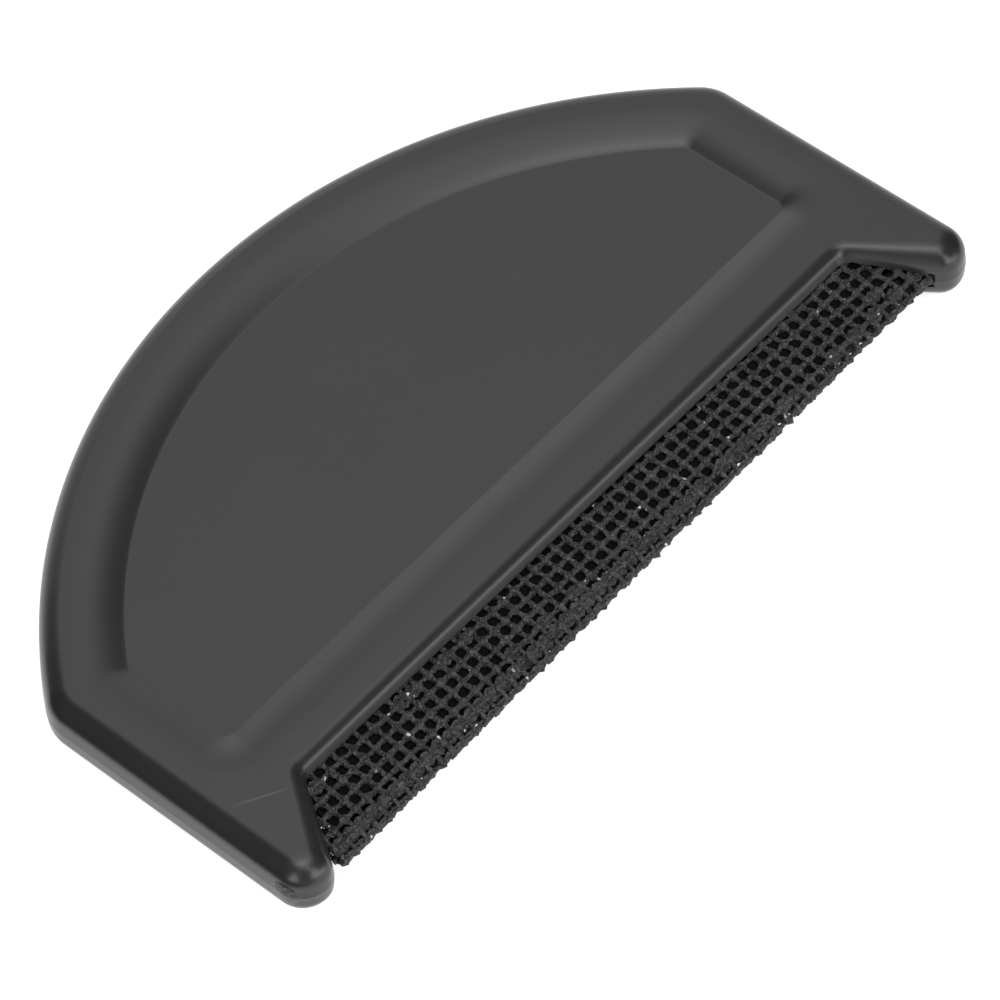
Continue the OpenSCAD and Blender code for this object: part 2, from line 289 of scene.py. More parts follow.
def skin_rings(sizes):
    """Rings of the outer skin, from the parting plane up to the flat top."""
    side_in = drawn_in(sizes, sizes.edge_round, sizes.draft)
    lip_in = drawn_in(sizes, sizes.lip_round, sizes.lip_slope)
    half, notch = COMB_LENGTH / 2, COMB_LENGTH / 2 - sizes.horn_root
    lip = sizes.lip_setback - sizes.lip_lead
    parting = outline(
        sizes, half, 0, lip, notch,
        sizes.notch_radius, sizes.horn_inner, sizes.horn_outer, sizes.corner_radius, 0,
    )
    top = outline(
        sizes, half - side_in, sizes.horn_top, lip + lip_in, notch + TOP_NOTCH_SHIFT,
        *TOP_RADII, sizes.corner_radius - side_in, side_in,
    )
    heights = along_edge(sizes.lip_round, sizes.horn_round, sizes.edge_round)
    slopes = along_edge(sizes.lip_slope, sizes.draft, sizes.draft)
    inwards = top - parting
    reach = np.hypot(*inwards.T)
    foot, inset = wall_top(sizes, heights, slopes)
    width = (reach - inset) / np.cos(slopes)
    burr = flash(sizes, parting)
    profile = [(np.zeros_like(reach), sizes.seam - burr)]
    for z, proud in ((np.full_like(reach, sizes.seam), burr), (FOOT_RING * foot, 0), (foot, 0)):
        profile.append((z, z * math.tan(sizes.draft) - proud))
    for step in np.linspace(0, 1, EDGE_STEPS + 1):
        turn = slopes + (math.pi / 2 - slopes) * step
        profile.append((HALF_THICKNESS - heights * (1 - np.sin(turn)), reach - width * np.cos(turn)))
    unit = inwards / reach[:, None]
    return [np.column_stack((parting + unit * inset[:, None], z)) for z, inset in profile]


def recess_rings(sizes):
    """Rings of the grip recess, from the rim down the convex shoulder to the panel."""
    back_centre, back_radius = back_curve(sizes)
    width, depth = sizes.shoulder, sizes.recess_depth
    bulge = (width**2 + depth**2) / (2 * depth)
    tip = np.array((COMB_LENGTH / 2 - sizes.horn_outer, sizes.horn_outer))
    side_reach = tip @ direction(sizes.side_lean) + sizes.horn_outer
    curve = np.linspace(0, 1, SHOULDER_STEPS + 1)[:-1] * (width - PANEL_BLEND)
    levels = [*curve, width - PANEL_BLEND, width, width + PANEL_BLEND]
    rings = []
    for level in levels:
        edge = sizes.recess_inset - width + level
        radius = sizes.panel_corner + width + PANEL_BLEND - level
        line = direction(sizes.side_lean) * (side_reach - edge)
        front = sizes.recess_front - width + level
        front_x = side_reach - edge - radius - math.sin(sizes.side_lean) * (front + radius)
        front_c = np.array((front_x / math.cos(sizes.side_lean), front + radius))
        back_c, back_a = corner_on_arc(line, sizes.side_lean, radius, back_centre, back_radius - edge)
        right = np.vstack(
            (
                arc(front_c, radius, -math.pi / 2, sizes.side_lean, PANEL_CORNER_STEPS),
                arc(back_c, radius, sizes.side_lean, back_a, PANEL_CORNER_STEPS),
                arc(back_centre, back_radius - edge, back_a, math.pi / 2, PANEL_BACK_STEPS)[1:-1],
            )
        )
        apex = np.array(((0, back_centre[1] + back_radius - edge),))
        loop = np.vstack((right, apex, mirrored(right)))
        drop = bulge - math.sqrt(bulge**2 - min(level, width) ** 2)
        lift = PANEL_LIFT if level == width else 0
        rings.append(np.column_stack((loop, np.full(len(loop), HALF_THICKNESS - drop + lift))))
    return rings


def add_ring(mesh, points):
    """Vertices of a ring, in the order of its points."""
    return [mesh.verts.new(p) for p in points]


def bridge(mesh, low, high):
    """Faces between two rings of the same count."""
    for i in range(len(low)):
        j = (i + 1) % len(low)
        mesh.faces.new((low[i], low[j], high[j], high[i]))


def loop_edges(mesh, ring):
    """Edges along a closed ring, made where they are missing."""
    pairs = zip(ring, ring[1:] + ring[:1])
    return [mesh.edges.get(pair) or mesh.edges.new(pair) for pair in pairs]


def in_place(mesh, side):
    """Moves a bmesh from the shell's own frame to the row's; side is 1 up, -1 down."""
    for vert in mesh.verts:
        vert.co.y -= COMB_DEPTH / 2
        vert.co.z = HALF_THICKNESS + side * vert.co.z
    bmesh.ops.recalc_face_normals(mesh, faces=mesh.faces)


def link(name, mesh):
    """A new object in the scene for a mesh."""
    made = bpy.data.objects.new(name, mesh)
    bpy.context.scene.collection.objects.link(made)
    return made


def baked(made):
    """Replaces an object's mesh by what its modifiers make of it."""
    bpy.context.view_layer.update()
    graph = bpy.context.evaluated_depsgraph_get()
    mesh = bpy.data.meshes.new_from_object(made.evaluated_get(graph))
    made.modifiers.clear()
    made.data = mesh
    mesh.name = made.name
    return made


# Slot: clearance, room at its ends, how far its cutter passes the body, how far in and how
# high its mouth opens, and the CAD screen's thread, on which the former's root lies.
SLOT_GAP, SLOT_END_ROOM, SLOT_OVERSHOOT = mm(0.05), mm(0.1), mm(1)
SLOT_THROAT, SLOT_SHADOW_GAP = mm(0.6), mm(0.2)
CAD_THREAD = mm(0.45)


def slot_cutter(sizes, screen):
    """Prism that opens the lip for the screen's tails and the root of its former."""
    former_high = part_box("screen_former")[1]
    room = screen.length / 2 * math.sin(screen.skew)
    tail_stop = sizes.lip_setback + screen.tail + room + SLOT_GAP
    former_stop = former_high.y + COMB_DEPTH / 2 + SLOT_GAP
    seat = screen.half_height - CAD_THREAD
    roof, fold_roof = screen.half_height + SLOT_GAP, screen.fold_radius + SLOT_GAP
    half = screen.length / 2 + abs(screen.shift) + SLOT_END_ROOM
    profile = (
        (-SLOT_OVERSHOOT, -SLOT_OVERSHOOT),
        (former_stop, -SLOT_OVERSHOOT),
        (former_stop, seat),
        (tail_stop, seat),
        (tail_stop, roof),
        (sizes.lip_setback + SLOT_THROAT, roof),
        (sizes.lip_setback - room, roof + SLOT_SHADOW_GAP),
        (screen.fold_setback - room, fold_roof),
        (-SLOT_OVERSHOOT, fold_roof),
    )
    mesh = bmesh.new()
    ends = [add_ring(mesh, [(x, y, z) for y, z in profile]) for x in (-half, half)]
    bridge(mesh, *ends)
    mesh.faces.new(ends[0])
    mesh.faces.new(ends[1])
    return mesh


def shell_mesh(sizes):
    """Closed half shell above the parting plane, before the slot is cut."""
    mesh = bmesh.new()
    skin = [add_ring(mesh, ring) for ring in skin_rings(sizes)]
    recess = [add_ring(mesh, ring) for ring in recess_rings(sizes)]
    for low, high in zip(skin, skin[1:]):
        bridge(mesh, low, high)
    for low, high in zip(recess, recess[1:]):
        bridge(mesh, low, high)
    rim = loop_edges(mesh, skin[-1]) + loop_edges(mesh, recess[0])
    bmesh.ops.triangle_fill(mesh, edges=rim, use_beauty=True, normal=(0, 0, 1))
    mesh.faces.new(recess[-1])
    mesh.faces.new(skin[0])
    return mesh


# Angle from which an edge stays sharp, weight of the large faces in the normals, and the
# most corners that a face has without being split into triangles.
SHARP_ANGLE = math.radians(32)
NORMAL_WEIGHT = 80
MOST_CORNERS = 4


def make_shell(name, side, sizes, screen, material):
    """One half shell as an object; side is 1 for the upper one and -1 for the lower."""
    meshes = {}
    for part, build in (("body", shell_mesh(sizes)), ("cut", slot_cutter(sizes, screen))):
        in_place(build, side)
        meshes[part] = bpy.data.meshes.new(f"{name}_{part}")
        build.to_mesh(meshes[part])
        build.free()
    shell = link(name, meshes["body"])
    cutter = link(f"{name}_cutter", meshes["cut"])
    cut = shell.modifiers.new("Slot", "BOOLEAN")
    cut.operation = "DIFFERENCE"
    cut.solver = "EXACT"
    cut.object = cutter
    baked(shell)
    bpy.data.objects.remove(cutter)
    shell.data.shade_smooth()
    shell.data.set_sharp_from_angle(angle=SHARP_ANGLE)
    smooth = shell.modifiers.new("Weighted normals", "WEIGHTED_NORMAL")
    smooth.keep_sharp = True
    smooth.weight = NORMAL_WEIGHT
    clean = shell.modifiers.new("Triangles", "TRIANGULATE")
    clean.min_vertices = MOST_CORNERS + 1
    clean.ngon_method = "BEAUTY"
    clean.keep_custom_normals = True
    baked(shell)
    shell.data.materials.clear()
    shell.data.materials.append(material)
    return shell


def add_node(tree, kind, links=None, **settings):
    """Adds a node, sets its properties or inputs, and links outputs into its inputs."""
    node = tree.nodes.new(kind)
    for key, value in settings.items():
        if hasattr(node, key):
            setattr(node, key, value)
        else:
            node.inputs[key.replace("_", " ")].default_value = value
    for key, source in (links or {}).items():
        tree.links.new(source, node.inputs[key])
    return node


def new_material(name):
    """An empty node material with its output."""
    material = bpy.data.materials.new(name)
    material.use_nodes = True
    material.node_tree.nodes.clear()
    return material, material.node_tree


def finish_material(tree, shader):
    """Links a shader to the material's output."""
    add_node(tree, "ShaderNodeOutputMaterial", {"Surface": shader.outputs[0]})


def per_metre(size):
    """Texture scale on Object coordinates for features of that size in metres."""
    return 1 / size


# Scratch: its ends, colour, half width, half depth, soft edge, and fade towards its ends.
SCRATCH_START = Vector((mm(-42.9), mm(-15.3), 2 * HALF_THICKNESS))
SCRATCH_END = Vector((mm(-37.6), mm(-18.3), 2 * HALF_THICKNESS))
SCRATCH_COLOUR = "383839"
SCRATCH_HALF_WIDTH, SCRATCH_HALF_DEPTH = mm(0.15), mm(0.5)
SCRATCH_SOFT, SCRATCH_FADE = mm(0.14), mm(2)
# Torn moulding flash: its centre, its reach with the fade in it, and the size of its grain.
FLASH_PLACE = (mm(-44.6), mm(-23.3), HALF_THICKNESS)
FLASH_REACH, FLASH_FADE, FLASH_GRAIN = mm(1.4), mm(0.9), mm(0.38)
# Painted glints: the light colour painted on a few grains for light caught by the grit, and the random
# level above which a grain gets it.
PAINTED_GLINT_COLOUR, PAINTED_GLINT_LIMIT = "a8a8a6", 0.996


def inside(tree, value, edge, soft):
    """1 where a value is nearer to zero than its edge, fading out over the soft width."""
    size = add_node(tree, "ShaderNodeMath", {0: value}, operation="ABSOLUTE")
    faded = add_node(
        tree, "ShaderNodeMapRange", {"Value": size.outputs[0]}, From_Min=edge, From_Max=edge - soft
    )
    return faded.outputs[0]


def scratch(tree, place):
    """Mask of the fine scratch that crosses the top of the upper shell beside the left horn."""
    run = SCRATCH_END - SCRATCH_START
    local = add_node(tree, "ShaderNodeMapping", {"Vector": place}, vector_type="TEXTURE")
    local.inputs["Location"].default_value = (SCRATCH_START + SCRATCH_END) / 2
    local.inputs["Rotation"].default_value = (0, 0, math.atan2(run.y, run.x))
    axes = add_node(tree, "ShaderNodeSeparateXYZ", {0: local.outputs[0]}).outputs
    mask = inside(tree, axes["X"], run.length / 2, SCRATCH_FADE)
    for axis, edge in (("Y", SCRATCH_HALF_WIDTH), ("Z", SCRATCH_HALF_DEPTH)):
        factor = inside(tree, axes[axis], edge, SCRATCH_SOFT)
        both = add_node(tree, "ShaderNodeMath", {0: mask, 1: factor}, operation="MULTIPLY")
        mask = both.outputs[0]
    return mask


def torn_flash(tree, place):
    """Height of the torn moulding flash at the front of the left tip."""
    noise = add_node(
        tree, "ShaderNodeTexNoise", {"Vector": place}, Scale=per_metre(FLASH_GRAIN), Detail=4.0
    )
    away = add_node(tree, "ShaderNodeVectorMath", {0: place}, operation="DISTANCE")
    away.inputs[1].default_value = FLASH_PLACE
    near = inside(tree, away.outputs["Value"], FLASH_REACH, FLASH_FADE)
    height = add_node(
        tree, "ShaderNodeMath", {0: noise.outputs["Fac"], 1: near}, operation="MULTIPLY"
    )
    return height.outputs[0]


def shaded(tree, factor, colour, dark, light):
    """A colour that goes from its dark to its light multiple with the factor."""
    tint = add_node(tree, "ShaderNodeMix", {"Factor": factor}, data_type="RGBA")
    tint.inputs["A"].default_value = [*(dark * c for c in colour), 1]
    tint.inputs["B"].default_value = [*(light * c for c in colour), 1]
    return tint.outputs["Result"]


def marked(tree, factor, base, code):
    """A base colour with a mark of the sRGB hex code laid over it by the factor."""
    laid = add_node(tree, "ShaderNodeMix", {"Factor": factor}, data_type="RGBA")
    tree.links.new(base, laid.inputs["A"])
    laid.inputs["B"].default_value = [*srgb(code), 1]
    return laid.outputs["Result"]


def moulded_abs(colours):
    """ABS moulded in a fine spark eroded tool: satin, nearly even, slightly cloudy."""
    material, tree = new_material("satin_moulded_abs")
    place = add_node(tree, "ShaderNodeTexCoord").outputs["Object"]
    cloud = add_node(
        tree, "ShaderNodeTexNoise", {"Vector": place}, Scale=per_metre(mm(9)), Detail=3.0
    )
    grain = add_node(
        tree, "ShaderNodeTexNoise", {"Vector": place}, Scale=per_metre(mm(0.16)), Detail=2.0
    )
    tint = shaded(tree, cloud.outputs["Fac"], colours.shell, dark=0.92, light=1.08)
    gloss = add_node(
        tree, "ShaderNodeMapRange", {"Value": cloud.outputs["Fac"]}, To_Min=0.27, To_Max=0.31
    )
    texture = add_node(
        tree, "ShaderNodeBump", {"Height": grain.outputs["Fac"]}, Strength=0.12, Distance=mm(0.02)
    )
    torn = add_node(
        tree,
        "ShaderNodeBump",
        {"Height": torn_flash(tree, place), "Normal": texture.outputs["Normal"]},
        Strength=1.0,
        Distance=mm(0.5),
    )
    shader = add_node(
        tree,
        "ShaderNodeBsdfPrincipled",
        {
            "Base Color": marked(tree, scratch(tree, place), tint, SCRATCH_COLOUR),
            "Roughness": gloss.outputs["Result"],
            "Normal": torn.outputs["Normal"],
        },
        IOR=1.5,
    )
    finish_material(tree, shader)
    return material


def gritted_yarn(colours):
    """Yarn dipped in black resin and grit: matte, rough, with glints of light painted on a few grains.
    """
    material, tree = new_material("grit_coated_yarn")
    place = add_node(tree, "ShaderNodeTexCoord").outputs["Object"]
    grains = add_node(tree, "ShaderNodeTexVoronoi", {"Vector": place}, Scale=per_metre(mm(0.26)))
    patch = add_node(
        tree, "ShaderNodeTexNoise", {"Vector": place}, Scale=per_metre(mm(0.6)), Detail=3.0
    )
    shade = add_node(tree, "ShaderNodeSeparateColor", {"Color": grains.outputs["Color"]})
    mixed = add_node(
        tree,
        "ShaderNodeMath",
        {0: shade.outputs["Red"], 1: patch.outputs["Fac"]},
        operation="MULTIPLY",
    )
    tint = shaded(tree, mixed.outputs[0], colours.screen, dark=0.2, light=4.6)
    # A few random grains get a light colour painted on, which stands for light glinting off the grit.
    painted_glint = add_node(tree, "ShaderNodeMath", {0: shade.outputs["Green"]}, operation="GREATER_THAN")
    painted_glint.inputs[1].default_value = PAINTED_GLINT_LIMIT
    rough = add_node(
        tree, "ShaderNodeMapRange", {"Value": shade.outputs["Blue"]}, To_Min=0.4, To_Max=0.9
    )
    bump = add_node(
        tree, "ShaderNodeBump", {"Height": grains.outputs["Distance"]}, Strength=1.0, Distance=mm(0.22)
    )
    shader = add_node(
        tree,
        "ShaderNodeBsdfPrincipled",
        {
            "Base Color": marked(tree, painted_glint.outputs[0], tint, PAINTED_GLINT_COLOUR),
            "Roughness": rough.outputs["Result"],
            "Normal": bump.outputs["Normal"],
        },
        IOR=1.5,
    )
    finish_material(tree, shader)
    return material


def dull_plastic(colours):
    """Unpolished moulded plastic of the former, seen only as black behind the holes."""
    material, tree = new_material("dull_moulded_plastic")
    place = add_node(tree, "ShaderNodeTexCoord").outputs["Object"]
    grain = add_node(
        tree, "ShaderNodeTexNoise", {"Vector": place}, Scale=per_metre(mm(0.3)), Detail=3.0
    )
    tint = shaded(tree, grain.outputs["Fac"], colours.former, dark=0.7, light=1.3)
    bump = add_node(
        tree, "ShaderNodeBump", {"Height": grain.outputs["Fac"]}, Strength=0.3, Distance=mm(0.03)
    )
    shader = add_node(
        tree,
        "ShaderNodeBsdfPrincipled",
        {"Base Color": tint, "Normal": bump.outputs["Normal"]},
        Roughness=0.85,
        Specular_IOR_Level=0.08,
    )
    finish_material(tree, shader)
    return material


FOLD_STEPS = 24


def screen_path(sizes, screen):
    """Centre line of the folded screen in the YZ plane, as a mesh of one polyline."""
    inset = screen.thread / 2
    radius, height = screen.fold_radius - inset, screen.half_height - inset
    reach = np.array((sizes.lip_setback - screen.fold_setback, height))
    slope = math.atan2(reach[1], reach[0]) - math.asin(radius / math.hypot(*reach))
    start, stop = math.pi / 2 + slope, 1.5 * math.pi - slope
    bend = arc((screen.fold_setback, 0), radius, start, stop, FOLD_STEPS)
    tail = sizes.lip_setback + screen.tail
    line = np.vstack(
        (
            [(tail, height), (sizes.lip_setback, height)],
            bend,
            [(sizes.lip_setback, -height), (tail, -height)],
        )
    )
    verts = [(0, y - sizes.lip_setback, z) for y, z in line]
    mesh = bpy.data.meshes.new("screen_path")
    mesh.from_pydata(verts, [(i, i + 1) for i in range(len(verts) - 1)], [])
    return mesh


SCREEN_INPUTS = {
    "Length": "Float",
    "Pitch along": "Float",
    "Pitch across": "Float",
    "Thread": "Float",
    "Step": "Float",
    "Wander": "Float",
    "Unevenness": "Float",
    "Knot": "Float",
    "Film": "Float",
    "Skew": "Float",
    "Place": "Vector",
    "Seed": "Int",
    "Material": "Material",
}


def scattered(tree, place, size, seed, amount):
    """Offset by smooth noise of that feature size, up to half the amount to either side."""
    noise = add_node(
        tree,
        "ShaderNodeTexNoise",
        {"Vector": place, "W": seed},
        noise_dimensions="4D",
        Scale=per_metre(size),
        Detail=2.0,
    )
    centred = add_node(
        tree, "ShaderNodeVectorMath", {0: noise.outputs["Color"]}, operation="SUBTRACT"
    )
    centred.inputs[1].default_value = (0.5, 0.5, 0.5)
    scaled = add_node(
        tree, "ShaderNodeVectorMath", {0: centred.outputs[0], "Scale": amount}, operation="SCALE"
    )
    return scaled.outputs[0]


LIE = "lie"
# Feature sizes of the noise that bends the threads, lumps the coating and gathers the films.
STRAY_SIZE, LUMP_SIZE, PATCH_SIZE = mm(2.6), mm(0.5), mm(7)
# Resin in the holes: heights and fronts between which the far layer by the fold starts, and
# its chance there, then the noise levels between which patches start, and their chance.
FAR_HEIGHTS, FAR_FRONTS, FAR_CHANCE = (mm(0.8), mm(0.68)), (mm(-3.2), mm(-3.8)), 0.97
PATCH_LEVELS, PATCH_CHANCE = (0.5, 0.65), 0.7
# Where each chance starts and ends its fall from left to right, and the part left over.
FAR_EASE, PATCH_EASE = (mm(0), mm(30), 0.5), (mm(-34), mm(-14), 0.08)
FILM_DEPTH = mm(0.12)
FILM_SIDES, THREAD_SIDES = 8, 6
# Random scales of the resin, between the least and the largest.
LARGEST_LUMP = (1.1, 1.1, 1.1)
LEAST_KNOT = (0.75, 0.75, 0.7)
LEAST_FILM = (0.92, 0.92, 0.8)


def surface_rotation(tree, tangent):
    """Rotation that lays a disc flat in the screen: Z is the tangent crossed with X."""
    across = add_node(tree, "ShaderNodeVectorMath", {0: tangent}, operation="CROSS_PRODUCT")
    across.inputs[1].default_value = (1, 0, 0)
    turned = add_node(
        tree, "FunctionNodeAlignRotationToVector", {"Vector": across.outputs[0]}, axis="Z"
    )
    return turned.outputs[0]


def filled_holes(tree, place, seed):
    """Chance that resin closes a hole: high in the far layer by the fold, else in patches.

    Both chances fall off towards the right, each over its own stretch of the screen.
    """
    axes = add_node(tree, "ShaderNodeSeparateXYZ", {0: place}).outputs
    below = add_node(tree, "ShaderNodeMapRange", {"Value": axes["Z"]}, To_Max=FAR_CHANCE)
    near = add_node(tree, "ShaderNodeMapRange", {"Value": axes["Y"]})
    noise = add_node(
        tree,
        "ShaderNodeTexNoise",
        {"Vector": place, "W": seed},
        noise_dimensions="4D",
        Scale=per_metre(PATCH_SIZE),
    )
    patch = add_node(
        tree, "ShaderNodeMapRange", {"Value": noise.outputs["Fac"]}, To_Max=PATCH_CHANCE
    )
    for ramp, levels in ((below, FAR_HEIGHTS), (near, FAR_FRONTS), (patch, PATCH_LEVELS)):
        ramp.inputs["From Min"].default_value = levels[0]
        ramp.inputs["From Max"].default_value = levels[1]
    far_layer = add_node(
        tree, "ShaderNodeMath", {0: below.outputs[0], 1: near.outputs[0]}, operation="MULTIPLY"
    )
    eased = []
    for part, (left, right, least) in ((far_layer, FAR_EASE), (patch, PATCH_EASE)):
        ease = add_node(
            tree,
            "ShaderNodeMapRange",
            {"Value": axes["X"]},
            From_Min=left,
            From_Max=right,
            To_Min=1.0,
            To_Max=least,
        )
        product = add_node(
            tree, "ShaderNodeMath", {0: part.outputs[0], 1: ease.outputs[0]}, operation="MULTIPLY"
        )
        eased.append(product.outputs[0])
    chance = add_node(tree, "ShaderNodeMath", {0: eased[0], 1: eased[1]}, operation="MAXIMUM")
    return chance.outputs[0]


def resin(tree, points, lump, least, seed, chance=None):
    """Lumps of resin on points, laid in the screen and scaled at random up to full size."""
    lie = add_node(tree, "GeometryNodeInputNamedAttribute", data_type="QUATERNION", Name=LIE)
    size = add_node(tree, "FunctionNodeRandomValue", {"Seed": seed}, data_type="FLOAT_VECTOR")
    size.inputs["Min"].default_value = least
    size.inputs["Max"].default_value = LARGEST_LUMP
    placed = add_node(
        tree,
        "GeometryNodeInstanceOnPoints",
        {
            "Points": points,
            "Instance": lump,
            "Rotation": lie.outputs["Attribute"],
            "Scale": size.outputs["Value"],
        },
    )
    if chance is not None:
        draw = add_node(tree, "FunctionNodeRandomValue", {"Seed": seed}, data_type="FLOAT")
        taken = add_node(
            tree, "ShaderNodeMath", {0: draw.outputs[1], 1: chance}, operation="LESS_THAN"
        )
        tree.links.new(taken.outputs[0], placed.inputs["Selection"])
    return add_node(tree, "GeometryNodeRealizeInstances", {0: placed.outputs[0]}).outputs[0]


def spaced_curves(tree, given):
    """Curves cut at even steps: the folded path and the straight long line, each two ways."""
    path = add_node(tree, "GeometryNodeMeshToCurve", {"Mesh": given["Geometry"]}).outputs[0]
    ends = []
    for side in (-0.5, 0.5):
        reach = add_node(tree, "ShaderNodeMath", {0: given["Length"]}, operation="MULTIPLY")
        reach.inputs[1].default_value = side
        ends.append(add_node(tree, "ShaderNodeCombineXYZ", {"X": reach.outputs[0]}).outputs[0])
    line = add_node(
        tree, "GeometryNodeCurvePrimitiveLine", {"Start": ends[0], "End": ends[1]}
    ).outputs[0]
    curves = []
    for curve, spacing in (
        (path, "Step"),
        (path, "Pitch across"),
        (line, "Step"),
        (line, "Pitch along"),
    ):
        cut = add_node(
            tree,
            "GeometryNodeResampleCurve",
            {"Curve": curve, "Length": given[spacing]},
            mode="LENGTH",
        )
        curves.append(cut.outputs[0])
    return curves


def yarns(tree, given, place, curves):
    """Tubes that run along both curves, and the points of the rows and columns they start from."""
    fine, rows, long_line, columns = curves
    woven = add_node(tree, "GeometryNodeJoinGeometry")
    spots = []
    for spaced, thread in ((rows, long_line), (columns, fine)):
        spot = add_node(tree, "GeometryNodeCurveToPoints", {"Curve": spaced}, mode="EVALUATED")
        placed = add_node(
            tree,
            "GeometryNodeInstanceOnPoints",
            {"Points": spot.outputs["Points"], "Instance": thread},
        )
        real = add_node(tree, "GeometryNodeRealizeInstances", {0: placed.outputs[0]})
        tree.links.new(real.outputs[0], woven.inputs[0])
        spots.append(spot.outputs)
    strayed = add_node(
        tree,
        "GeometryNodeSetPosition",
        {
            "Geometry": woven.outputs[0],
            "Offset": scattered(tree, place, STRAY_SIZE, given["Seed"], given["Wander"]),
        },
    )
    radius = add_node(tree, "ShaderNodeMath", {0: given["Thread"]}, operation="MULTIPLY")
    radius.inputs[1].default_value = 0.5
    ring = add_node(
        tree,
        "GeometryNodeCurvePrimitiveCircle",
        {"Radius": radius.outputs[0]},
        Resolution=THREAD_SIDES,
    )
    tubes = add_node(
        tree,
        "GeometryNodeCurveToMesh",
        {"Curve": strayed.outputs[0], "Profile Curve": ring.outputs[0]},
        Fill_Caps=True,
    )
    return tubes.outputs[0], spots


def crossing_points(tree, rows, columns):
    """A point at every crossing, which carries the rotation that lays a disc in the screen."""
    marked_rows = add_node(
        tree,
        "GeometryNodeStoreNamedAttribute",
        {"Geometry": rows["Points"], "Value": surface_rotation(tree, rows["Tangent"])},
        data_type="QUATERNION",
        Name=LIE,
    )
    placed = add_node(
        tree,
        "GeometryNodeInstanceOnPoints",
        {"Points": columns["Points"], "Instance": marked_rows.outputs[0]},
    )
    return add_node(tree, "GeometryNodeRealizeInstances", {0: placed.outputs[0]}).outputs[0]


def knots_and_films(tree, given, place, crossings):
    """Resin on the crossings, and films of it in some of the holes half a pitch further on."""
    seed = given["Seed"]
    knot = add_node(tree, "GeometryNodeMeshIcoSphere", {"Radius": given["Knot"]}, Subdivisions=1)
    disc = add_node(
        tree,
        "GeometryNodeMeshCylinder",
        {"Radius": given["Film"]},
        Vertices=FILM_SIDES,
        Depth=FILM_DEPTH,
    )
    half_pitch = add_node(tree, "ShaderNodeMath", {0: given["Pitch along"]}, operation="MULTIPLY")
    half_pitch.inputs[1].default_value = 0.5
    to_hole = add_node(tree, "ShaderNodeCombineXYZ", {"X": half_pitch.outputs[0]})
    holes = add_node(
        tree,
        "GeometryNodeSetPosition",
        {"Geometry": crossings, "Offset": to_hole.outputs[0]},
    )
    chance = filled_holes(tree, place, seed)
    knots = resin(tree, crossings, knot.outputs[0], LEAST_KNOT, seed)
    films = resin(tree, holes.outputs[0], disc.outputs[0], LEAST_FILM, seed, chance)
    return knots, films


def screen_tree():
    """Geometry nodes that weave the screen: cross threads follow the path, long ones cross it."""
    tree = bpy.data.node_groups.new("abrasive_screen_weave", "GeometryNodeTree")
    tree.interface.new_socket("Geometry", in_out="INPUT", socket_type="NodeSocketGeometry")
    for name, kind in SCREEN_INPUTS.items():
        tree.interface.new_socket(name, in_out="INPUT", socket_type=f"NodeSocket{kind}")
    tree.interface.new_socket("Geometry", in_out="OUTPUT", socket_type="NodeSocketGeometry")
    given = add_node(tree, "NodeGroupInput").outputs
    place = add_node(tree, "GeometryNodeInputPosition").outputs[0]
    tubes, (rows, columns) = yarns(tree, given, place, spaced_curves(tree, given))
    crossings = crossing_points(tree, rows, columns)
    knots, films = knots_and_films(tree, given, place, crossings)
    joined = add_node(tree, "GeometryNodeJoinGeometry")
    for part in (films, knots, tubes):
        tree.links.new(part, joined.inputs[0])
    coated = add_node(
        tree,
        "GeometryNodeSetPosition",
        {
            "Geometry": joined.outputs[0],
            "Offset": scattered(tree, place, LUMP_SIZE, given["Seed"], given["Unevenness"]),
        },
    )
    turn = add_node(tree, "ShaderNodeCombineXYZ", {"Z": given["Skew"]})
    seated = add_node(
        tree,
        "GeometryNodeTransform",
        {
            "Geometry": coated.outputs[0],
            "Rotation": turn.outputs[0],
            "Translation": given["Place"],
        },
    )
    real = add_node(tree, "GeometryNodeRealizeInstances", {0: seated.outputs[0]})
    done = add_node(
        tree,
        "GeometryNodeSetMaterial",
        {"Geometry": real.outputs[0], "Material": given["Material"]},
    )
    add_node(tree, "NodeGroupOutput", {"Geometry": done.outputs[0]})
    return tree


def set_inputs(modifier, values):
    """Sets a geometry nodes modifier's inputs by the names in its tree."""
    for item in modifier.node_group.interface.items_tree:
        if item.in_out == "INPUT" and item.name in values:
            modifier[item.identifier] = values[item.name]


class COMB_OT_shells(bpy.types.Operator):
    """Model both half shells and let them stand for their CAD nodes"""

    bl_idname = "comb.shells"
    bl_label = "Half shells"

    def execute(self, context):
        scene = context.scene
        material = moulded_abs(scene.comb_colours)
        for name, node, side in (("shell_upper", "upper_shell", 1), ("shell_lower", "lower_shell", -1)):
            shell = make_shell(name, side, scene.comb_shell, scene.comb_screen, material)
            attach(shell, ROOT)
            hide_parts(node)
        return {"FINISHED"}


class COMB_OT_screen(bpy.types.Operator):
    """Weave the abrasive screen round its fold"""

    bl_idname = "comb.screen"
    bl_label = "Abrasive screen"

    def execute(self, context):
        shell, screen = context.scene.comb_shell, context.scene.comb_screen
        woven = link("screen_weave", screen_path(shell, screen))
        weave = woven.modifiers.new("Weave", "NODES")
        weave.node_group = screen_tree()
        values = {
            "Length": screen.length - screen.thread,
            "Pitch along": screen.pitch_x,
            "Pitch across": screen.pitch_y,
            "Thread": screen.thread,
            "Step": screen.step,
            "Wander": screen.wander,
            "Unevenness": screen.unevenness,
            "Knot": screen.knot,
            "Film": screen.film,
            "Skew": screen.skew,
            "Place": (screen.shift, shell.lip_setback - COMB_DEPTH / 2, HALF_THICKNESS),
            "Seed": screen.seed,
            "Material": gritted_yarn(context.scene.comb_colours),
        }
        set_inputs(weave, values)
        baked(woven)
        if not woven.data.polygons:
            raise RuntimeError("the screen came out empty")
        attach(woven, ROOT)
        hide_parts("abrasive_screen")
        return {"FINISHED"}


